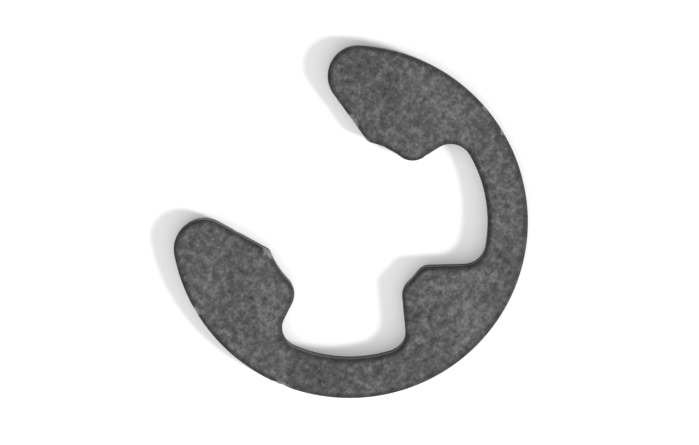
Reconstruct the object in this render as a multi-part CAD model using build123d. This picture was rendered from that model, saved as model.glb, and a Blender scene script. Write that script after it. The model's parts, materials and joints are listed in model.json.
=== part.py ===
from build123d import *
import os
from math import cos, radians, sin, sqrt, tan

# E-clip: a retaining washer that is pushed sideways into a groove turned round a shaft.
# It is one piece, blanked from flat spring steel strip: a rim that springs open, a heel lug in
# its middle and a lug inside each arm. The three lugs bear on the bottom of the groove.
#
# Frame: the origin is on the axis of the shaft, at the face that the clip lies on. +Z is along
# the shaft, through the strip's thickness. The mouth opens towards +Y, the heel is at -Y, and
# the clip is the same on both sides of the YZ plane.
#
# Angles round the clip are counted from the heel, -Y, so the mouth is at 180.

# Strip and rim, in millimetres
STRIP_T = 1.1  # thickness of the strip
OUTER_D = 18.5  # rim, outside, with the clip unsprung
RIM_W = 2.08  # width of the springing rim between the lugs
GRIP_D = 8.76  # circle that the three lugs bear on

# Heel lug
HEEL_HALF_ANGLE = 10.3  # from the clip's middle to the lug's corner, degrees
HEEL_FLANK = 43.0  # lean of each flank away from the middle, degrees
HEEL_TIP_R = 0.82
HEEL_ROOT_R = 1.10

# Arm lugs
ARM_START = 85.4  # corner of the lug on the window's side, degrees
ARM_FLANK = 15.0  # how far that flank falls away from square to the arm, degrees
ARM_TIP_R = 1.02
ARM_ROOT_R = 1.15

# Mouth
ARM_WRAP = 29.0  # how far an arm lug reaches round past the shaft's centre, degrees
MOUTH_FLARE = 12.6  # lean of each side of the mouth, degrees
THROAT_R = 0.42  # corner where the mouth meets the grip circle
NOSE_R = 1.57  # rounded end of each arm

# Blanked edge: the rim of the face that met the die first is drawn down, a bright land is
# sheared below it, and the rest of the edge breaks away at a small angle to a tumbled corner.
DIE_ROLL_R = 0.14
LAND_H = 0.55  # height of the sheared land and the die roll together
BREAK_ANGLE = 5.0  # of the broken zone, degrees
BURR_R = 0.04  # tumbled corner where the burr was

break_h = STRIP_T - LAND_H
break_in = break_h * tan(radians(BREAK_ANGLE))
die_roll_r = min(DIE_ROLL_R, 0.4 * LAND_H)
burr_r = min(BURR_R, 0.4 * break_h)

outer_r = OUTER_D / 2
rim_inner_r = outer_r - RIM_W
grip_r = GRIP_D / 2
lug_h = rim_inner_r - grip_r
reach = 2 * outer_r  # longer than any cut has to be

# A corner never takes more than its share of the lug that carries it
heel_tip_r = min(HEEL_TIP_R, 0.32 * lug_h)
heel_root_r = min(HEEL_ROOT_R, 0.42 * lug_h)
arm_tip_r = min(ARM_TIP_R, 0.38 * lug_h)
arm_root_r = min(ARM_ROOT_R, 0.43 * lug_h)


def at(radius, angle):
    """Point at a radius and an angle from the heel, on the +X side."""
    return Vector(radius * sin(radians(angle)), -radius * cos(radians(angle)))


def out_to(start, heading, radius):
    """Where a line from start along heading crosses a circle about the shaft's axis."""
    along = start.dot(heading)
    return start + heading * (sqrt(along**2 - start.dot(start) + radius**2) - along)


heel_corner = at(grip_r, HEEL_HALF_ANGLE)
arm_corner = at(grip_r, ARM_START)
throat_corner = at(grip_r, 90 + ARM_WRAP)
heel_heading = Vector(sin(radians(HEEL_FLANK)), -cos(radians(HEEL_FLANK)))
arm_heading = Vector(cos(radians(ARM_FLANK)), -sin(radians(ARM_FLANK)))
mouth_heading = Vector(sin(radians(MOUTH_FLARE)), cos(radians(MOUTH_FLARE)))


def window():
    """Space between the heel lug and the arm lug, on the +X side."""
    between = Polygon(
        heel_corner - heel_heading * (grip_r / 2),
        heel_corner + heel_heading * reach,
        at(2 * reach, (HEEL_FLANK + 90) / 2),
        arm_corner + arm_heading * reach,
        arm_corner - arm_heading * (grip_r / 2),
        align=None,
    )
    return between & Circle(rim_inner_r)


def mouth():
    """Flared way in between the arms, past the rim."""
    inner = throat_corner - mouth_heading * (grip_r / 4)
    outer = throat_corner + mouth_heading * reach
    return Polygon(
        (-inner.X, inner.Y), (inner.X, inner.Y), (outer.X, outer.Y), (-outer.X, outer.Y), align=None
    )


def outline():
    """Flat outline of the clip with every corner rounded."""
    blank = Circle(outer_r) - Circle(grip_r) - window() - mirror(window(), Plane.YZ) - mouth()
    corners = (
        (heel_corner, heel_tip_r),
        (out_to(heel_corner, heel_heading, rim_inner_r), heel_root_r),
        (out_to(arm_corner, arm_heading, rim_inner_r), arm_root_r),
        (arm_corner, arm_tip_r),
        (throat_corner, THROAT_R),
        (out_to(throat_corner, mouth_heading, outer_r), NOSE_R),
    )
    for place, radius in corners:
        for side in (1, -1):
            spot = (side * place.X, place.Y)
            blank = fillet(blank.vertices().sort_by_distance(spot)[0], radius)
    return blank


def blanked(flat):
    """The strip's thickness under the outline, with the section that blanking leaves on its edge."""
    body = extrude(flat, STRIP_T)
    lying_face = body.faces().sort_by(Axis.Z)[0]
    body = chamfer(lying_face.edges(), break_in, break_h, reference=lying_face)
    body = fillet(body.faces().sort_by(Axis.Z)[-1].edges(), die_roll_r)
    return fillet(body.faces().sort_by(Axis.Z)[0].edges(), burr_r)


e_clip = blanked(outline())
e_clip.label = "e_clip"

os.makedirs("parts", exist_ok=True)
export_step(e_clip, "parts/e_clip.step")
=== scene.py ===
"""Looks for the e clip: one flat spring steel clip, blanked from strip, tumbled and phosphated.

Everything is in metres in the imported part's frame: the origin is on the shaft's axis at the face
that the clip lies on, +Z goes through the strip's thickness and +Y goes out of the mouth.
"""

import json
import logging
import random
from collections.abc import Callable
from dataclasses import dataclass
from enum import Enum
from math import atan2, ceil, cos, pi, radians, sin, sqrt, tan, tau
from typing import Any

import bpy
from mathutils import Matrix, Vector
from mathutils.kdtree import KDTree


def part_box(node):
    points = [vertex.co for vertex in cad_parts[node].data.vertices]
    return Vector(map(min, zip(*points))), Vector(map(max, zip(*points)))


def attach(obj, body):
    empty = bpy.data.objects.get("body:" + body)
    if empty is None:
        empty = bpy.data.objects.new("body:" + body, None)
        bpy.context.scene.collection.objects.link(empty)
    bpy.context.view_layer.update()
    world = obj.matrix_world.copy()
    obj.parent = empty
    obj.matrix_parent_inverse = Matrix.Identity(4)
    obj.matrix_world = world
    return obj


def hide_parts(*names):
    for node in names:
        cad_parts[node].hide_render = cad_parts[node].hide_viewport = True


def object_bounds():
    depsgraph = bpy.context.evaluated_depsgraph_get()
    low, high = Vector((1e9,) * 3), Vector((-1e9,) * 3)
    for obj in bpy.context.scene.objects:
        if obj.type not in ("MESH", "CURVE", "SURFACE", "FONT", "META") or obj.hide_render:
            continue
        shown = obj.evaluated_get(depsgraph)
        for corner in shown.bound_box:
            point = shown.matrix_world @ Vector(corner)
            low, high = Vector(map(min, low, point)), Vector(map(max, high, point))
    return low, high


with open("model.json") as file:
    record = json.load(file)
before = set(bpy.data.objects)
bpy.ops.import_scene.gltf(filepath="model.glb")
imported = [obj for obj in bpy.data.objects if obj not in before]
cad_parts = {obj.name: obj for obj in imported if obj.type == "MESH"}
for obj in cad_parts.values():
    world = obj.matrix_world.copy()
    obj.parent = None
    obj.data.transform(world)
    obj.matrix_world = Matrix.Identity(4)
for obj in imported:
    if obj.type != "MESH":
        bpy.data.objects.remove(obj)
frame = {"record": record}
CAD_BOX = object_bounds()

LOG = logging.getLogger("e_clip")
MM = 0.001
NODE = "e_clip"
GRIP_MOUNT = "groove_grip"
TOUCHING = 1e-7  # points closer than this are one
SINE_PEAK = 1.5  # light that grows as the height's sine peaks at this times what a level face gets

Socket = bpy.types.NodeSocket
Tree = bpy.types.NodeTree
Spot = tuple[Vector, float]  # middle and radius


class Turn(Enum):
    """Which way an arc of the outline goes, seen from above."""

    LEFT = 1
    RIGHT = -1


class Region(Enum):
    """Vertex groups that the edge is shaped with."""

    BREAK = "break_zone"
    SEAM = "land_and_break_seam"
    ROLL = "die_roll"


class Zone(Enum):
    """Attributes that tell the finish where it is: each runs from 0 to 1 over the surface."""

    EDGE = "near_edge"
    TORN = "torn_edge"
    RUBBED = "rubbed_spot"


def unit(angle: float) -> Vector:
    """Unit vector in the clip's plane at an angle from +X, in radians."""
    return Vector((cos(angle), sin(angle), 0.0))


def angle_of(v: Vector) -> float:
    """Angle of a vector in the clip's plane, from +X, in radians."""
    return atan2(v.y, v.x)


def reach_circle(start: Vector, heading: Vector, radius: float) -> Vector:
    """Where a line from start, inside a circle about the shaft's axis, crosses it ahead."""
    along = start.dot(heading)
    return start + heading * (sqrt(along * along - start.dot(start) + radius * radius) - along)


@dataclass(frozen=True)
class Arc:
    """A compass stroke of the outline."""

    centre: Vector
    radius: float
    start: float
    end: float
    turn: Turn

    def sweep(self) -> float:
        """Signed angle from start to end, going the arc's own way round."""
        turned = (self.end - self.start) * self.turn.value % tau
        return turned * self.turn.value

    def first(self) -> Vector:
        """Point where the stroke begins."""
        return self.centre + unit(self.start) * self.radius

    def last(self) -> Vector:
        """Point where the stroke ends."""
        return self.centre + unit(self.end) * self.radius


@dataclass(frozen=True)
class ClipOutline:
    """Sizes of the flat outline, and the arcs that its right half is drawn with.

    The arcs meet at a tangent, so the straight flanks are what joins one arc's end to the next
    arc's start.
    """

    outer_r: float
    grip_r: float
    rim_w: float = 2.08 * MM
    heel_half_angle: float = radians(10.3)
    heel_flank: float = radians(43.0)
    heel_tip_r: float = 0.82 * MM
    heel_root_r: float = 1.10 * MM
    arm_start: float = radians(85.4)
    arm_flank: float = radians(15.0)
    arm_tip_r: float = 1.02 * MM
    arm_root_r: float = 1.15 * MM
    arm_wrap: float = radians(29.0)
    mouth_flare: float = radians(12.6)
    throat_r: float = 0.42 * MM
    nose_r: float = 1.57 * MM

    def rim_inner_r(self) -> float:
        """Radius of the rim's inner side, where the windows end."""
        return self.outer_r - self.rim_w

    def corner(self, from_heel: float) -> Vector:
        """Sharp corner on the bearing circle, at an angle counted from the heel."""
        return unit(from_heel - pi / 2) * self.grip_r

    def throat(self) -> Vector:
        """Sharp corner where the right arm's lug meets the mouth."""
        return self.corner(pi / 2 + self.arm_wrap)

    def strokes(self) -> list[Arc]:
        """Arcs of the right half, from the heel's middle round the inside to the nose and rim.

        Returns:
            The arcs in drawing order. Each ends where the next begins or a flank leads to it.
        """
        origin = Vector()
        rim_in = self.rim_inner_r()

        heel = self.corner(self.heel_half_angle)
        heel_way = unit(self.heel_flank - pi / 2)
        heel_side = Vector((heel_way.y, -heel_way.x, 0.0))
        tip = reach_circle(heel + heel_side * self.heel_tip_r, heel_way, self.grip_r + self.heel_tip_r)
        root = reach_circle(heel - heel_side * self.heel_root_r, heel_way, rim_in - self.heel_root_r)

        arm = self.corner(self.arm_start)
        arm_way = unit(-self.arm_flank)
        arm_side = Vector((-arm_way.y, arm_way.x, 0.0))
        arm_root = reach_circle(arm - arm_side * self.arm_root_r, arm_way, rim_in - self.arm_root_r)
        arm_tip = reach_circle(arm + arm_side * self.arm_tip_r, arm_way, self.grip_r + self.arm_tip_r)

        throat = self.throat()
        mouth_way = unit(pi / 2 - self.mouth_flare)
        mouth_side = Vector((mouth_way.y, -mouth_way.x, 0.0))
        lip_start = throat + mouth_side * self.throat_r
        lip = reach_circle(lip_start, mouth_way, self.grip_r + self.throat_r)
        nose = reach_circle(throat + mouth_side * self.nose_r, mouth_way, self.outer_r - self.nose_r)

        return [
            Arc(origin, self.grip_r, -pi / 2, angle_of(tip), Turn.LEFT),
            Arc(tip, self.heel_tip_r, angle_of(-tip), angle_of(-heel_side), Turn.RIGHT),
            Arc(root, self.heel_root_r, angle_of(heel_side), angle_of(root), Turn.LEFT),
            Arc(origin, rim_in, angle_of(root), angle_of(arm_root), Turn.LEFT),
            Arc(arm_root, self.arm_root_r, angle_of(arm_root), angle_of(arm_side), Turn.LEFT),
            Arc(arm_tip, self.arm_tip_r, angle_of(-arm_side), angle_of(-arm_tip), Turn.RIGHT),
            Arc(origin, self.grip_r, angle_of(arm_tip), angle_of(lip), Turn.LEFT),
            Arc(lip, self.throat_r, angle_of(-lip), angle_of(-mouth_side), Turn.RIGHT),
            Arc(nose, self.nose_r, angle_of(-mouth_side), angle_of(nose), Turn.RIGHT),
            Arc(origin, self.outer_r, angle_of(nose), -pi / 2, Turn.RIGHT),
        ]


def only(obj: bpy.types.Object) -> None:
    """Leave edit mode and make an object the only one selected, and the active one.

    Args:
        obj: The object to work on next.
    """
    if bpy.context.mode != "OBJECT":
        bpy.ops.object.mode_set(mode="OBJECT")
    bpy.ops.object.select_all(action="DESELECT")
    obj.select_set(True)
    bpy.context.view_layer.objects.active = obj


def edit(obj: bpy.types.Object, mode: str) -> None:
    """Enter edit mode on one object with nothing selected.

    Args:
        obj: The object to edit.
        mode: VERT, EDGE or FACE.
    """
    only(obj)
    bpy.ops.object.mode_set(mode="EDIT")
    bpy.ops.mesh.select_mode(type=mode)
    bpy.ops.mesh.select_all(action="DESELECT")


def pick_faces(obj: bpy.types.Object, wanted: Callable[[bpy.types.MeshPolygon], bool]) -> None:
    """Select the faces that a test accepts, leaving the object in edit mode.

    Args:
        obj: The object, in either mode.
        wanted: Test that takes a polygon and says whether to select it.
    """
    edit(obj, "FACE")
    bpy.ops.object.mode_set(mode="OBJECT")
    for face in obj.data.polygons:
        face.select = wanted(face)
    bpy.ops.object.mode_set(mode="EDIT")


def apply_modifier(obj: bpy.types.Object, kind: str, **settings: Any) -> None:
    """Add a modifier with its settings and apply it.

    Args:
        obj: The object to change.
        kind: The modifier's type.
        settings: Values set on the modifier before it is applied.
    """
    only(obj)
    modifier = obj.modifiers.new(kind.title(), kind)
    for name, value in settings.items():
        setattr(modifier, name, value)
    bpy.ops.object.modifier_apply(modifier=modifier.name)


def cloud(name: str, size: float, depth: int) -> bpy.types.Texture:
    """Cloudy procedural texture for a Displace modifier.

    Args:
        name: Name of the texture.
        size: Size of its largest lumps, in metres.
        depth: How many finer layers it has.

    Returns:
        The texture.
    """
    texture = bpy.data.textures.new(name, "CLOUDS")
    texture.noise_scale = size
    texture.noise_depth = depth
    return texture


class Pencil:
    """Draws a chain of edges in edit mode, by spinning and extruding its last vertex."""

    def __init__(self, name: str, start: Vector, spacing: float) -> None:
        """Put down one vertex.

        Args:
            name: Name of the new object.
            start: Where the line begins.
            spacing: Longest edge that the line may have.
        """
        bpy.ops.object.select_all(action="DESELECT")
        bpy.ops.mesh.primitive_plane_add(size=spacing, location=start)
        self.obj = bpy.context.object
        self.obj.name = name
        self.obj.data.name = name
        bpy.ops.object.transform_apply(location=True, rotation=True, scale=True)
        bpy.ops.object.mode_set(mode="EDIT")
        bpy.ops.mesh.select_mode(type="VERT")
        bpy.ops.mesh.select_all(action="SELECT")
        bpy.ops.mesh.merge(type="CENTER")
        self.tip = start
        self.spacing = spacing

    def run_to(self, end: Vector) -> None:
        """Extrude the last vertex in a straight line to a point, in even steps.

        Args:
            end: Where the line goes. If it is there already, nothing is drawn.
        """
        way = end - self.tip
        if way.length < TOUCHING:
            return
        steps = ceil(way.length / self.spacing)
        for _ in range(steps):
            bpy.ops.mesh.extrude_region_move(TRANSFORM_OT_translate={"value": way / steps})
        self.tip = end

    def curve(self, arc: Arc, least: int) -> None:
        """Run to an arc's start and spin the last vertex along it.

        Args:
            arc: The arc to follow.
            least: Fewest edges that the arc may have.
        """
        self.run_to(arc.first())
        steps = max(least, ceil(abs(arc.sweep()) * arc.radius / self.spacing))
        bpy.ops.mesh.spin(steps=steps, angle=arc.sweep(), center=arc.centre, axis=(0, 0, -1))
        self.tip = arc.last()


def linear(code: str) -> tuple[float, float, float, float]:
    """Linear colour of an sRGB hex code such as "#5A5A5A"."""
    shares = [int(code[i : i + 2], 16) / 255 for i in (1, 3, 5)]
    return (*(c / 12.92 if c <= 0.04045 else ((c + 0.055) / 1.055) ** 2.4 for c in shares), 1.0)


def add_node(tree: Tree, kind: str, settings: dict[str, Any] | None = None, **inputs: Any) -> bpy.types.Node:
    """Add a shader node with its settings, values and links.

    Args:
        tree: The material's or world's node tree.
        kind: The node's type, without its ShaderNode prefix.
        settings: Properties set on the node.
        inputs: Value or output socket for each input. An input is named with _ for a space, or
            by its place: in0, in1 and so on.

    Returns:
        The new node.
    """
    node = tree.nodes.new("ShaderNode" + kind)
    for name, value in (settings or {}).items():
        setattr(node, name, value)
    for name, value in inputs.items():
        place = name.removeprefix("in")
        socket = node.inputs[int(place) if place.isdigit() else name.replace("_", " ")]
        if isinstance(value, Socket):
            tree.links.new(value, socket)
        else:
            socket.default_value = value
    return node


def new_material(name: str) -> tuple[bpy.types.Material, Tree]:
    """Make an empty node material.

    Args:
        name: Name of the material.

    Returns:
        The material and its node tree.
    """
    material = bpy.data.materials.new(name)
    material.use_nodes = True
    material.node_tree.nodes.clear()
    return material, material.node_tree


def seen_directly(tree: Tree) -> Socket:
    """1 for what the camera sees, also by reflection or through glass, and 0 for stray light.

    Args:
        tree: The node tree to add it to.

    Returns:
        The value.
    """
    rays = add_node(tree, "LightPath").outputs
    seen = rays["Is Camera Ray"]
    for other in ("Is Glossy Ray", "Is Transmission Ray"):
        seen = add_node(tree, "Math", {"operation": "MAXIMUM"}, in0=seen, in1=rays[other]).outputs[0]
    return seen


@dataclass(frozen=True)
class Fade:
    """How a pattern's value turns into a share, from least at start to most at end."""

    start: float
    end: float
    least: float = 0.0
    most: float = 1.0

    def limits(self) -> dict[str, float]:
        """The four limits, by the names of their inputs."""
        return {"From_Min": self.start, "From_Max": self.end, "To_Min": self.least, "To_Max": self.most}


@dataclass(frozen=True)
class PhosphatedSpringSteel:
    """Manganese phosphate grown on tumbled spring steel, with a light lubricant film.

    The crystals scatter light, so the eye gets an even, dull dark grey with a mottle and a fine
    grain. Shade is painted along the edges in patches, and more lightly on the walls, and the
    corners that knocked against other clips are rubbed back to paler bare steel. On the blanked
    edge the sheared land keeps the lines that the die dragged down it, and the torn zone below it
    is coarser and darker.
    """

    # the coat, and the three sizes of its mottle, which add up to a value around 0.5
    coat: str = "#505050"
    coat_dark: str = "#2A2A2A"
    coat_pale: str = "#797979"
    cloud_size: float = 2.4 * MM
    cloud_share: float = 0.24
    blotch_size: float = 0.38 * MM
    blotch_share: float = 0.44
    crystal_size: float = 0.13 * MM  # the real crystals are a tenth of this, too fine to show
    crystal_share: float = 0.32
    noise_detail: float = 2.0
    mottle_fineness: float = 0.6  # how strongly its finest layers show
    mottle_fade: Fade = Fade(0.35, 0.65)
    coat_roughness: Fade = Fade(0.3, 0.7, 0.60, 0.78)
    specular: float = 0.35
    grain_depth: float = 0.02 * MM
    grain_strength: float = 0.6

    # scratches of tumbling on the flats
    scuffed: str = "#7C7C7C"
    scuff_length: float = 1.6 * MM
    scuff_width: float = 0.05 * MM
    scuff_turns: tuple[float, float] = (radians(24.0), radians(-58.0))
    scuff_fade: Fade = Fade(0.70, 0.78)
    scuff_share: float = 0.45

    # the walls of the edge, told by how nearly level their normal is, and the sheared land on them
    wall_fade: Fade = Fade(0.5, 0.1)
    land: str = "#575757"
    land_fade: Fade = Fade(0.35, 0.62, 0.25, 0.95)
    land_roughness: float = 0.45
    drag_pitch: float = 0.07 * MM
    drag_stretch: float = 0.06  # how fast the lines change downwards, next to across

    # the torn zone, which begins where the mottle times torn_ragged, plus 0.5 at the seam, is 2.5
    torn: str = "#2E2E2E"
    torn_ragged: float = 4.0
    torn_fade: Fade = Fade(2.42, 2.58)
    torn_share: float = 0.85
    torn_relief: float = 2.0  # added to the coat's own relief, which counts as 1

    # painted shade along the edges and walls, deeper in patches
    edge_shade: str = "#767676"
    edge_shade_fade: Fade = Fade(0.0, 0.8, 0.0, 0.8)
    edge_shade_patches: Fade = Fade(0.35, 0.55, 0.6, 1.0)

    # bare steel on the knocked corners, whose limit the mottle makes ragged too
    rubbed: str = "#8C8C8C"
    rub_ragged: float = 2.5
    rub_fade: Fade = Fade(1.4, 1.75, 0.0, 0.75)
    rub_reach: Fade = Fade(0.0, 0.15)
    rubbed_roughness: float = 0.38

    def mottle(self, tree: Tree, place: Socket) -> Socket:
        """Clouds, blotches and crystals of the coat, added up.

        Args:
            tree: The material's node tree.
            place: Where the point is on the clip.

        Returns:
            A value around 0.5.
        """
        total: Socket | float = 0.0
        for size, share in (
            (self.cloud_size, self.cloud_share),
            (self.blotch_size, self.blotch_share),
            (self.crystal_size, self.crystal_share),
        ):
            noise = add_node(
                tree, "TexNoise", Vector=place, Scale=1 / size,
                Detail=self.noise_detail, Roughness=self.mottle_fineness,
            ).outputs["Fac"]
            total = add_node(
                tree, "Math", {"operation": "MULTIPLY_ADD"}, in0=noise, in1=share, in2=total
            ).outputs[0]
        return total

    def coat_colour(self, tree: Tree, mottle: Socket) -> Socket:
        """Colour of the coat, before anything lies on it or is rubbed off.

        Args:
            tree: The material's node tree.
            mottle: The coat's mottle.

        Returns:
            The colour.
        """
        spread = add_node(tree, "MapRange", Value=mottle, **self.mottle_fade.limits()).outputs[0]
        ramp = add_node(tree, "ValToRGB", Fac=spread)
        ramp.color_ramp.elements[0].color = linear(self.coat_dark)
        ramp.color_ramp.elements[1].color = linear(self.coat_pale)
        ramp.color_ramp.elements.new(0.5).color = linear(self.coat)
        return ramp.outputs["Color"]

    def scuffs(self, tree: Tree, place: Socket, wall: Socket) -> Socket:
        """Short thin scratches in two directions, sparse as tumbling leaves them.

        Args:
            tree: The material's node tree.
            place: Where the point is on the clip.
            wall: Mask of the walls, which have none.

        Returns:
            The share of the scratches' colour.
        """
        marks = []
        for turn in self.scuff_turns:
            along = add_node(
                tree, "Mapping", Vector=place, Rotation=(0, 0, turn),
                Scale=(1 / self.scuff_length, 1 / self.scuff_width, 1 / self.scuff_width),
            ).outputs[0]
            streak = add_node(tree, "TexNoise", Vector=along, Scale=1.0, Detail=1.0).outputs["Fac"]
            marks.append(add_node(tree, "MapRange", Value=streak, **self.scuff_fade.limits()).outputs[0])
        mark = add_node(tree, "Math", {"operation": "MAXIMUM"}, in0=marks[0], in1=marks[1]).outputs[0]
        flat = add_node(tree, "Mix", {"data_type": "FLOAT"}, in0=wall, in2=mark, in3=0.0).outputs[0]
        return add_node(tree, "Math", {"operation": "MULTIPLY"}, in0=flat, in1=self.scuff_share).outputs[0]

    def drag_lines(self, tree: Tree, place: Socket) -> Socket:
        """Upright lines that the die drags down the sheared land.

        Args:
            tree: The material's node tree.
            place: Where the point is on the clip.

        Returns:
            A value around 0.5.
        """
        upright = add_node(
            tree, "Mapping", Vector=place,
            Scale=(1 / self.drag_pitch, 1 / self.drag_pitch, self.drag_stretch / self.drag_pitch),
        ).outputs[0]
        lines = add_node(tree, "TexNoise", Vector=upright, Scale=1.0, Detail=self.noise_detail)
        return lines.outputs["Fac"]

    def wall_masks(self, tree: Tree, mottle: Socket, torn_zone: Socket) -> tuple[Socket, Socket, Socket]:
        """Masks of the blanked edge, with a ragged limit between its land and its torn zone.

        Args:
            tree: The material's node tree.
            mottle: The coat's mottle, which makes the limit ragged.
            torn_zone: 1 in the torn zone, 0.5 at its limit and 0 elsewhere.

        Returns:
            Masks of the whole wall, of its torn zone and of its sheared land.
        """
        normal = add_node(tree, "NewGeometry").outputs["Normal"]
        facing = add_node(tree, "SeparateXYZ", Vector=normal).outputs["Z"]
        level = add_node(tree, "Math", {"operation": "ABSOLUTE"}, in0=facing).outputs[0]
        wall = add_node(tree, "MapRange", Value=level, **self.wall_fade.limits()).outputs[0]
        ragged = add_node(
            tree, "Math", {"operation": "MULTIPLY_ADD"}, in0=mottle, in1=self.torn_ragged, in2=torn_zone
        ).outputs[0]
        below = add_node(tree, "MapRange", Value=ragged, **self.torn_fade.limits()).outputs[0]
        torn = add_node(tree, "Math", {"operation": "MULTIPLY"}, in0=below, in1=wall).outputs[0]
        not_torn = add_node(tree, "Math", {"operation": "SUBTRACT"}, in0=1.0, in1=torn).outputs[0]
        sheared = add_node(tree, "Math", {"operation": "MULTIPLY"}, in0=wall, in1=not_torn).outputs[0]
        return wall, torn, sheared

    def painted_edge_shade(self, tree: Tree, near_edge: Socket, patches: Socket) -> Socket:
        """Painted shade along the edge, deeper here and lighter there.

        Args:
            tree: The material's node tree.
            near_edge: 1 at the edge, fading to 0 on the flats.
            patches: Cloudy pattern of where the painted shade is deeper.

        Returns:
            The share by which the painted shade darkens the surface.
        """
        film = add_node(
            tree, "MapRange", {"interpolation_type": "SMOOTHSTEP"}, Value=near_edge,
            **self.edge_shade_fade.limits(),
        ).outputs[0]
        patchy = add_node(tree, "MapRange", Value=patches, **self.edge_shade_patches.limits()).outputs[0]
        return add_node(tree, "Math", {"operation": "MULTIPLY"}, in0=film, in1=patchy).outputs[0]

    def bare_steel(self, tree: Tree, mottle: Socket, near_edge: Socket, spot: Socket) -> Socket:
        """Ragged spots on the edge where the coat is rubbed off.

        Args:
            tree: The material's node tree.
            mottle: The coat's mottle, which makes the spots ragged.
            near_edge: 1 at the edge, fading to 0 on the flats.
            spot: 1 in the middle of a rubbed spot, fading to 0 round it.

        Returns:
            The share of bare steel.
        """
        on_edge = add_node(tree, "Math", {"operation": "MULTIPLY"}, in0=spot, in1=near_edge).outputs[0]
        ragged = add_node(
            tree, "Math", {"operation": "MULTIPLY_ADD"}, in0=mottle, in1=self.rub_ragged, in2=on_edge
        ).outputs[0]
        worn = add_node(tree, "MapRange", Value=ragged, **self.rub_fade.limits()).outputs[0]
        reached = add_node(tree, "MapRange", Value=on_edge, **self.rub_reach.limits()).outputs[0]
        return add_node(tree, "Math", {"operation": "MULTIPLY"}, in0=worn, in1=reached).outputs[0]

    def relief(self, tree: Tree, grain: Socket, torn: Socket, scuffed: Socket) -> Socket:
        """Fine relief of the surface, coarser where it is torn and cut by the scratches.

        Args:
            tree: The material's node tree.
            grain: Height of the crystals or of the drag lines.
            torn: Mask of the torn zone.
            scuffed: Share of the scratches.

        Returns:
            The normal.
        """
        coarse = add_node(
            tree, "Math", {"operation": "MULTIPLY_ADD"}, in0=torn, in1=self.torn_relief, in2=1.0
        ).outputs[0]
        height = add_node(tree, "Math", {"operation": "MULTIPLY"}, in0=grain, in1=coarse).outputs[0]
        height = add_node(tree, "Math", {"operation": "SUBTRACT"}, in0=height, in1=scuffed).outputs[0]
        return add_node(
            tree, "Bump", Height=height, Distance=self.grain_depth, Strength=self.grain_strength
        ).outputs["Normal"]

    def material(self) -> bpy.types.Material:
        """Build the node material.

        Returns:
            The material.
        """
        material, tree = new_material("phosphated_spring_steel")
        place = add_node(tree, "TexCoord").outputs["Object"]
        near_edge, torn_zone, spot = (
            add_node(tree, "Attribute", {"attribute_name": zone.value}).outputs["Fac"] for zone in Zone
        )
        mottle = self.mottle(tree, place)
        patches = add_node(
            tree, "TexNoise", Vector=place, Scale=1 / self.cloud_size, Detail=self.noise_detail
        ).outputs["Fac"]
        lines = self.drag_lines(tree, place)
        wall, torn, sheared = self.wall_masks(tree, mottle, torn_zone)
        lined = add_node(tree, "MapRange", Value=lines, **self.land_fade.limits()).outputs[0]
        land = add_node(tree, "Math", {"operation": "MULTIPLY"}, in0=sheared, in1=lined).outputs[0]
        dark = add_node(tree, "Math", {"operation": "MULTIPLY"}, in0=torn, in1=self.torn_share).outputs[0]
        # painted shade along the edges and, more lightly, on the walls
        edge_shaded = self.painted_edge_shade(tree, near_edge, patches)
        scuffed = self.scuffs(tree, place, wall)
        bare = self.bare_steel(tree, mottle, near_edge, spot)

        colour = self.coat_colour(tree, mottle)
        # the edge share multiplies painted shade into the coat; the other layers are the coat's own land,
        # torn zone, scratches and bare steel
        for share, over, way in (
            (land, self.land, "MIX"), (dark, self.torn, "MIX"), (edge_shaded, self.edge_shade, "MULTIPLY"),
            (scuffed, self.scuffed, "MIX"), (bare, self.rubbed, "MIX"),
        ):
            colour = add_node(
                tree, "Mix", {"data_type": "RGBA", "blend_type": way}, in0=share, in6=colour, in7=linear(over)
            ).outputs[2]

        rough = add_node(tree, "MapRange", Value=patches, **self.coat_roughness.limits()).outputs[0]
        for share, over in ((sheared, self.land_roughness), (bare, self.rubbed_roughness)):
            rough = add_node(tree, "Mix", {"data_type": "FLOAT"}, in0=share, in2=rough, in3=over).outputs[0]

        grain = add_node(tree, "Mix", {"data_type": "FLOAT"}, in0=sheared, in2=mottle, in3=lines).outputs[0]
        bsdf = add_node(
            tree, "BsdfPrincipled", Base_Color=colour, Roughness=rough, Metallic=bare,
            Normal=self.relief(tree, grain, torn, scuffed), Specular_IOR_Level=self.specular,
        )
        add_node(tree, "OutputMaterial", Surface=bsdf.outputs[0])
        return material


@dataclass(frozen=True)
class WhiteCard:
    """Matt white card with a faint glow, that the clip lies on.

    The glow is seen and not felt: it clears the faint shade that the clip throws all round it and
    leaves the shadow of the key light. The light that the card throws back at the clip is that of
    a paler grey, so that it does not fill the shade on the upright edges.
    """

    seen_colour: str = "#FFFFFF"
    bounce_colour: str = "#A4A4A4"
    roughness: float = 0.9
    glow: float = 0.17

    def material(self) -> bpy.types.Material:
        """Build the node material.

        Returns:
            The material.
        """
        material, tree = new_material("white_card")
        seen = seen_directly(tree)
        colour = add_node(
            tree, "Mix", {"data_type": "RGBA"}, in0=seen,
            in6=linear(self.bounce_colour), in7=linear(self.seen_colour),
        ).outputs[2]
        card = add_node(
            tree, "BsdfPrincipled", Base_Color=colour, Roughness=self.roughness, Specular_IOR_Level=0.0
        )
        strength = add_node(tree, "Math", {"operation": "MULTIPLY"}, in0=seen, in1=self.glow).outputs[0]
        glow = add_node(tree, "Emission", Strength=strength)
        both = add_node(tree, "AddShader", in0=card.outputs[0], in1=glow.outputs[0])
        add_node(tree, "OutputMaterial", Surface=both.outputs[0])
        return material


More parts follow.
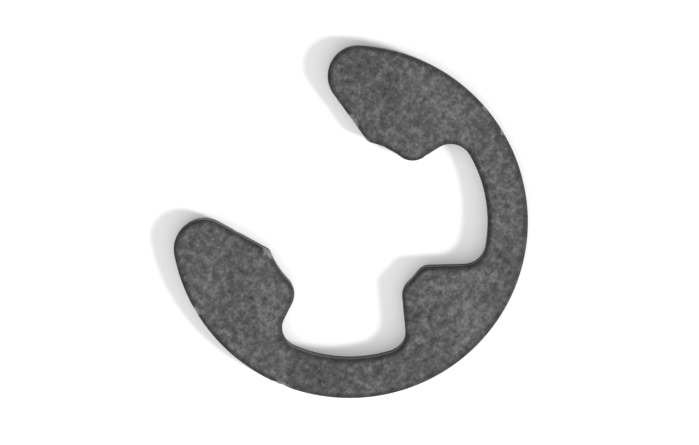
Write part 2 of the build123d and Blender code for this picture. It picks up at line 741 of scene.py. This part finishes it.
@dataclass(frozen=True)
class BlankedSection:
    """Section of the edge that blanking and tumbling leave on the strip, from the top down."""

    die_roll_r: float = 0.14 * MM
    land_h: float = 0.55 * MM  # from the upper face, so it takes in the die roll
    break_angle: float = radians(5.0)
    burr_r: float = 0.04 * MM
    support_w: float = 0.05 * MM  # two narrow rings of faces beside each corner keep the flats flat
    band_w: float = 0.10 * MM
    roll_steps: int = 6
    land_rows: int = 4
    break_rows: int = 6
    burr_steps: int = 3


@dataclass
class BlankedClip:
    """The clip itself: outline, thickness, blanked edge and the small marks of tumbling."""

    outline: ClipOutline
    strip_t: float
    section: BlankedSection = BlankedSection()
    finish: PhosphatedSpringSteel = PhosphatedSpringSteel()

    # how the mesh is made
    spacing: float = 0.11 * MM
    least_arc_edges: int = 7
    grid: float = 0.5 * MM
    flat_area: float = 50.0 * MM * MM  # a face larger than this is a whole flat
    flat_facing: float = 0.9
    wall_facing: float = 0.2
    flush: float = 0.001 * MM  # heights closer than this are the same
    smooth_angle: float = radians(42.0)

    # what blanking leaves
    seam_wave: float = 0.20 * MM
    seam_wave_length: float = 1.0 * MM
    tear_depth: float = 0.022 * MM
    tear_size: float = 0.20 * MM

    # what tumbling leaves
    sag_depth: float = 0.030 * MM
    sag_length: float = 1.6 * MM
    nicks: int = 14
    nick_depth: float = 0.045 * MM
    nick_depth_shares: tuple[float, float] = (0.4, 1.0)
    nick_width: float = 0.20 * MM
    nick_width_shares: tuple[float, float] = (0.7, 1.5)
    nick_drop: float = 0.3  # below the upper face, as a share of the die roll
    nick_slant: float = 0.6  # how far a knock goes down or up, next to how far it goes in
    lower_every: int = 3  # one knock in so many is on the lower corner
    rubbed_every: int = 2  # one in so many rubs the coat off, if it is on the upper corner
    rub_spread: float = 2.0  # radius of such a rub, next to its dent's
    sheltered: float = 0.8 * MM  # other clips don't reach this near the windows' outer side
    seed: int = 9

    # rubbing at the throat, and the share of the edge's painted shade and bare wear that reaches onto the
    # walls
    throat_rub: float = 0.50 * MM
    right_rub_share: float = 0.6
    wall_shade_and_wear_share: float = 0.60

    def roll_foot(self) -> float:
        """Height at which the rolled edge meets the sheared land."""
        return self.strip_t - self.section.die_roll_r

    def seam(self) -> float:
        """Height at which the sheared land meets the broken zone."""
        return self.strip_t - self.section.land_h

    def draw(self) -> bpy.types.Object:
        """Draw the half outline, mirror it and fill it with one flat face at the seam's height.

        Returns:
            The flat clip.
        """
        strokes = self.outline.strokes()
        pencil = Pencil("blanked_clip", strokes[0].first(), self.spacing)
        for arc in strokes:
            pencil.curve(arc, self.least_arc_edges)
        clip = pencil.obj
        apply_modifier(clip, "MIRROR", use_axis=(True, False, False), merge_threshold=TOUCHING)
        edit(clip, "VERT")
        bpy.ops.mesh.select_all(action="SELECT")
        bpy.ops.mesh.remove_doubles(threshold=TOUCHING)
        bpy.ops.mesh.edge_face_add()
        bpy.ops.transform.translate(value=(0, 0, self.seam()))
        return clip

    def is_flat(self, face: bpy.types.MeshPolygon, up: int) -> bool:
        """Whether a face is the clip's whole upper (up is 1) or lying (up is -1) face."""
        return face.area > self.flat_area and face.normal.z * up > self.flat_facing

    def pick_level(self, clip: bpy.types.Object, level: float) -> None:
        """Select the faces at a height, leaving the clip in edit mode."""
        pick_faces(clip, lambda face: abs(face.center.z - level) < self.flush)

    def step_in(self, inward: float, outward: float) -> None:
        """Inset the selected flat face: its rim moves in, and the face out along its normal."""
        bpy.ops.mesh.inset(thickness=inward, depth=outward, use_even_offset=True)

    def round_over(self, radius: float, start: float, steps: int) -> None:
        """Round the rim of the selected flat face with insets that follow an arc.

        Args:
            radius: Radius of the rounded corner.
            start: Angle from the clip's axis at which the wall meets the corner.
            steps: Number of insets.
        """
        turn = (pi / 2 - start) / steps
        for i in range(steps):
            now = start + turn * i
            then = start + turn * (i + 1)
            self.step_in(radius * (cos(now) - cos(then)), radius * (sin(then) - sin(now)))
        self.step_in(self.section.support_w, 0.0)
        self.step_in(self.section.band_w, 0.0)

    def thicken(self, clip: bpy.types.Object) -> None:
        """Raise the sheared land and its rolled edge, and drop the broken zone to the lying face.

        Args:
            clip: The flat clip at the seam's height.
        """
        section = self.section
        land_row = (section.land_h - section.die_roll_r) / section.land_rows
        pick_faces(clip, lambda face: True)
        for _ in range(section.land_rows):
            bpy.ops.mesh.extrude_region_move(TRANSFORM_OT_translate={"value": (0, 0, land_row)})
        self.round_over(section.die_roll_r, 0.0, section.roll_steps)
        bpy.ops.mesh.select_all(action="SELECT")
        bpy.ops.mesh.normals_make_consistent(inside=False)

        pick_faces(clip, lambda face: self.is_flat(face, -1))
        break_h = self.seam() - section.burr_r * (1 - sin(section.break_angle))
        break_row = break_h / section.break_rows
        for _ in range(section.break_rows):
            self.step_in(break_row * tan(section.break_angle), break_row)
        self.round_over(section.burr_r, section.break_angle, section.burr_steps)
        bpy.ops.object.mode_set(mode="OBJECT")

    def grid_faces(self, clip: bpy.types.Object) -> None:
        """Cut both flat faces into a square grid, so that a mark stays where it is made.

        Args:
            clip: The closed clip.
        """
        low, high = CAD_BOX
        across = (Vector((1, 0, 0)), low.x, high.x)
        along = (Vector((0, 1, 0)), low.y, high.y)
        for level in (self.strip_t, 0.0):
            for normal, first, last in (across, along):
                for i in range(1, ceil((last - first) / self.grid)):
                    self.pick_level(clip, level)
                    bpy.ops.mesh.bisect(plane_co=normal * (first + i * self.grid), plane_no=normal)
            self.pick_level(clip, level)
            bpy.ops.mesh.quads_convert_to_tris(quad_method="BEAUTY", ngon_method="BEAUTY")
        bpy.ops.object.mode_set(mode="OBJECT")

    def group(self, clip: bpy.types.Object, region: Region, low: float, high: float) -> None:
        """Put the vertices between two heights, low and high, in a region's vertex group."""
        members = [v.index for v in clip.data.vertices if low <= v.co.z <= high]
        clip.vertex_groups.new(name=region.value).add(members, 1.0, "REPLACE")

    def tear(self, clip: bpy.types.Object) -> None:
        """Make the seam between land and break wander, and the broken zone rough.

        Args:
            clip: The closed clip.
        """
        seam = self.seam()
        half_row = seam / self.section.break_rows / 2
        self.group(clip, Region.SEAM, seam - half_row, seam + half_row)
        self.group(clip, Region.BREAK, self.section.burr_r, seam - half_row)
        wave = cloud("seam_wave", self.seam_wave_length, depth=2)
        apply_modifier(
            clip, "DISPLACE", texture=wave, vertex_group=Region.SEAM.value,
            direction="Z", strength=self.seam_wave, mid_level=0.5,
        )
        grain = cloud("torn_grain", self.tear_size, depth=3)
        apply_modifier(
            clip, "DISPLACE", texture=grain, vertex_group=Region.BREAK.value,
            direction="NORMAL", strength=self.tear_depth, mid_level=1.0,
        )

    def wear_edge(self, clip: bpy.types.Object) -> None:
        """Let the rolled edge sag a little more here and less there, as tumbling leaves it.

        Args:
            clip: The closed clip.
        """
        self.group(clip, Region.ROLL, self.roll_foot() + self.flush, self.strip_t - self.flush)
        sag = cloud("edge_sag", self.sag_length, depth=1)
        apply_modifier(
            clip, "DISPLACE", texture=sag, vertex_group=Region.ROLL.value,
            direction="NORMAL", strength=self.sag_depth, mid_level=1.0,
        )

    def exposed_rim(self, clip: bpy.types.Object) -> list[Vector]:
        """Points at the foot of the rolled edge that another clip can knock against.

        Args:
            clip: The closed clip.

        Returns:
            The points, in the mesh's order.
        """
        roll_foot = self.roll_foot()
        window_r = self.outline.rim_inner_r()
        return [
            v.co.copy() for v in clip.data.vertices
            if abs(v.co.z - roll_foot) < self.flush and abs(v.co.xy.length - window_r) > self.sheltered
        ]

    def way_in(self, clip: bpy.types.Object, at: Vector) -> Vector:
        """Level direction into the steel from a point on the wall.

        Args:
            clip: The closed clip.
            at: The point.

        Returns:
            The unit direction.
        """
        wall = min(
            (f for f in clip.data.polygons if abs(f.normal.z) < self.wall_facing),
            key=lambda f: (f.center - at).length_squared,
        )
        return Vector((-wall.normal.x, -wall.normal.y, 0)).normalized()

    def nick(self, clip: bpy.types.Object, at: Vector, push: Vector, width: float) -> None:
        """Press one small dent into the edge, as a knock in the tumbling barrel does.

        Args:
            clip: The closed clip.
            at: Roughly where the dent is.
            push: How far and which way its middle moves.
            width: Radius of the dent.
        """
        edit(clip, "VERT")
        bpy.ops.object.mode_set(mode="OBJECT")
        nearest = min(clip.data.vertices, key=lambda v: (v.co - at).length_squared)
        nearest.select = True
        bpy.ops.object.mode_set(mode="EDIT")
        bpy.ops.transform.translate(
            value=push, use_proportional_edit=True, proportional_edit_falloff="SMOOTH",
            proportional_size=width,
        )

    def tumble(self, clip: bpy.types.Object) -> list[Spot]:
        """Dent the rolled edge and the burr's corner in a few places round the clip.

        Args:
            clip: The closed clip.

        Returns:
            The spots that the knocks rubbed bare.
        """
        chance = random.Random(self.seed)
        rim = self.exposed_rim(clip)
        upper_height = self.strip_t - self.nick_drop * self.section.die_roll_r
        spots = []
        for i in range(self.nicks):
            at = chance.choice(rim)
            upper = i % self.lower_every != 0
            spot = Vector((at.x, at.y, upper_height if upper else self.section.burr_r))
            slant = Vector((0, 0, -self.nick_slant if upper else self.nick_slant))
            depth = chance.uniform(*self.nick_depth_shares) * self.nick_depth
            width = chance.uniform(*self.nick_width_shares) * self.nick_width
            self.nick(clip, spot, (self.way_in(clip, at) + slant) * depth, width)
            if upper and i % self.rubbed_every == 1:
                spots.append((spot, self.rub_spread * width))
        return spots

    def corner_rubs(self) -> list[Spot]:
        """Spots at the throat, where the clips catch on each other and rub.

        Returns:
            The spots at the left and at the right corner.
        """
        throat = self.outline.throat()
        left = Vector((-throat.x, throat.y, self.strip_t))
        right = Vector((throat.x, throat.y, self.strip_t))
        return [(left, self.throat_rub), (right, self.right_rub_share * self.throat_rub)]

    def edge_shares(self, points: list[Vector]) -> list[float]:
        """How near each point is to the edge, and less on the wall.

        Args:
            points: The mesh's points.

        Returns:
            A share for each point, which fades to 0 on the flats.
        """
        section = self.section
        reach = section.die_roll_r + section.support_w + section.band_w
        wall = [p for p in points if section.burr_r < p.z < self.roll_foot() + self.flush]
        tree = KDTree(len(wall))
        for i, p in enumerate(wall):
            tree.insert((p.x, p.y, 0), i)
        tree.balance()
        shares = []
        for p in points:
            near = max(0.0, 1 - tree.find((p.x, p.y, 0))[2] / reach)
            on_wall = section.burr_r < p.z < self.roll_foot() - self.flush
            # on the walls the edge share is cut down; it sets how much painted shade darkens them and how far
            # bare wear reaches there
            shares.append(near * self.wall_shade_and_wear_share if on_wall else near)
        return shares

    def torn_shares(self, clip: bpy.types.Object) -> list[float]:
        """Which points are in the torn zone.

        Args:
            clip: The closed clip with its vertex groups.

        Returns:
            1 in the zone, 0.5 on its seam and 0 elsewhere, for each point.
        """
        seam = self.seam()
        seam_group = clip.vertex_groups[Region.SEAM.value].index
        on_seam = {v.index for v in clip.data.vertices if seam_group in {g.group for g in v.groups}}
        return [
            0.5 if v.index in on_seam else float(self.section.burr_r / 2 < v.co.z < seam)
            for v in clip.data.vertices
        ]

    def mark(self, clip: bpy.types.Object, rubs: list[Spot]) -> None:
        """Write the zones that the finish reads into attributes.

        Args:
            clip: The closed clip with its vertex groups.
            rubs: The rubbed spots.
        """
        points = [v.co for v in clip.data.vertices]
        values = {
            Zone.EDGE: self.edge_shares(points),
            Zone.TORN: self.torn_shares(clip),
            Zone.RUBBED: [
                max(max(0.0, 1 - (p - at).length / width) for at, width in rubs) for p in points
            ],
        }
        for zone, shares in values.items():
            clip.data.attributes.new(zone.value, "FLOAT", "POINT").data.foreach_set("value", shares)

    def build(self) -> bpy.types.Object:
        """Model the clip.

        Returns:
            The finished mesh object, at the origin.
        """
        clip = self.draw()
        self.thicken(clip)
        self.grid_faces(clip)
        self.tear(clip)
        self.wear_edge(clip)
        knocks = self.tumble(clip)
        only(clip)
        self.mark(clip, knocks + self.corner_rubs())
        bpy.ops.object.shade_smooth_by_angle(angle=self.smooth_angle)
        return clip

    def dress(self, piece: bpy.types.Object) -> None:
        """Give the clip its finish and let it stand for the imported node.

        Args:
            piece: The modelled clip.
        """
        piece.data.materials.append(self.finish.material())
        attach(piece, "root")
        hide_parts(NODE)


@dataclass(frozen=True)
class Studio:
    """Card, soft light and camera."""

    floor_w: float = 4.0
    card: WhiteCard = WhiteCard()

    # camera
    azimuth: float = radians(-48.4)  # of the view's right-hand side, from +X
    tilt: float = radians(9.0)  # off the vertical
    lens: float = 135.0
    fill: float = 0.80  # the clip's width, as a share of the view's height
    view_w: float = 699.0  # only the ratio of these two counts
    view_h: float = 445.0
    nearest: float = 0.005  # distances between which the camera sees
    farthest: float = 20.0

    # light on a level face from the sky and from the key lamp, where 1 shows a colour as it is
    sky: float = 0.64
    horizon: float = 0.05
    lean: float = 0.85  # how much brighter than the mean the horizon is on the near side
    lean_from: float = radians(-115.0)
    key: float = 0.42
    key_from: float = radians(-20.0)
    key_elevation: float = radians(34.0)
    key_spread: float = radians(13.0)

    def across(self) -> tuple[Vector, Vector]:
        """Directions on the card that run to the right and up in the camera's view."""
        right = Vector((cos(self.azimuth), sin(self.azimuth), 0))
        return right, Vector((-sin(self.azimuth), cos(self.azimuth), 0))

    def build(self) -> bpy.types.Object:
        """Lay the card, set the lamp and the world, and aim the camera.

        Returns:
            The card.
        """
        low, high = CAD_BOX
        centre = (low + high) / 2
        card = self.floor(low.z)
        self.lamp()
        self.world()
        self.camera(Vector((0, 0, centre.z)), high - low)
        return card

    def floor(self, height: float) -> bpy.types.Object:
        """Lay the card under the clip.

        Args:
            height: Height of the card's upper side.

        Returns:
            The card.
        """
        bpy.ops.object.select_all(action="DESELECT")
        bpy.ops.mesh.primitive_plane_add(size=self.floor_w, location=(0, 0, height))
        bpy.ops.object.transform_apply(location=True, rotation=True, scale=True)
        card = bpy.context.object
        card.name = "white_card"
        card.data.materials.append(self.card.material())
        return card

    def lamp(self) -> None:
        """Set the soft key light, which falls evenly on the card from the right."""
        right, up = self.across()
        level = right * cos(self.key_from) + up * sin(self.key_from)
        back = level * cos(self.key_elevation) + Vector((0, 0, sin(self.key_elevation)))
        data = bpy.data.lights.new("soft_key", "SUN")
        data.angle = self.key_spread
        data.energy = self.key * pi / sin(self.key_elevation)
        lamp = bpy.data.objects.new("soft_key", data)
        lamp.rotation_euler = back.to_track_quat("Z", "Y").to_euler()
        bpy.context.scene.collection.objects.link(lamp)

    def world(self) -> None:
        """Soft light, seen as white, that grows with height and leans to the near side."""
        world = bpy.data.worlds.new("studio")
        bpy.context.scene.world = world
        world.use_nodes = True
        tree = world.node_tree
        tree.nodes.clear()
        way = add_node(tree, "TexCoord").outputs["Generated"]
        height = add_node(tree, "SeparateXYZ", Vector=way).outputs["Z"]
        peak = self.horizon + SINE_PEAK * (self.sky - self.horizon)
        rise = Fade(0.0, 1.0, self.horizon, peak)
        level = add_node(tree, "MapRange", Value=height, **rise.limits()).outputs[0]
        # the lean adds on one side what it takes from the other, so a level face gets as much
        right, up = self.across()
        brighter = (right * cos(self.lean_from) + up * sin(self.lean_from)) * self.lean
        near_side = add_node(
            tree, "VectorMath", {"operation": "DOT_PRODUCT"}, in0=way, in1=brighter
        ).outputs["Value"]
        strength = add_node(
            tree, "Math", {"operation": "MULTIPLY_ADD"}, in0=level, in1=near_side, in2=level
        ).outputs[0]
        light = add_node(tree, "Background", Color=(1, 1, 1, 1), Strength=strength)
        white = add_node(tree, "Background", Color=(1, 1, 1, 1), Strength=1.0)
        both = add_node(
            tree, "MixShader", in0=seen_directly(tree), in1=light.outputs[0], in2=white.outputs[0]
        )
        add_node(tree, "OutputWorld", Surface=both.outputs[0])

    def camera(self, centre: Vector, size: Vector) -> None:
        """Aim the camera nearly straight down, from a little beyond the clip's upper edge.

        Args:
            centre: Point that comes to the middle of the view.
            size: Size of the clip's box.
        """
        data = bpy.data.cameras.new("camera")
        data.lens = self.lens
        data.clip_start = self.nearest
        data.clip_end = self.farthest
        data.dof.use_dof = False
        camera = bpy.data.objects.new("camera", data)
        bpy.context.scene.collection.objects.link(camera)
        right, up = self.across()
        back = up * sin(self.tilt) + Vector((0, 0, cos(self.tilt)))
        sensor_h = data.sensor_width * self.view_h / self.view_w
        distance = size.x / self.fill * self.lens / sensor_h
        camera.location = centre + back * distance
        camera.rotation_euler = Matrix((right, back.cross(right), back)).transposed().to_euler()
        bpy.context.scene.camera = camera


def main() -> None:
    """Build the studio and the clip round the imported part, and report both."""
    logging.basicConfig(level=logging.INFO, format="%(message)s")
    bpy.context.scene.view_settings.view_transform = "Standard"
    card = Studio().build()
    low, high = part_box(NODE)
    grip = next(m for m in frame["record"]["mounts"] if m["name"] == GRIP_MOUNT)
    outline = ClipOutline(outer_r=min(high.x, -low.y), grip_r=grip["dims"]["r_mm"] * MM)
    clip = BlankedClip(outline, strip_t=high.z - low.z)
    piece = clip.build()
    clip.dress(piece)
    for obj in (card, piece):
        LOG.info("%s: %d faces", obj.name, len(obj.data.polygons))


if __name__ == "__main__":
    main()
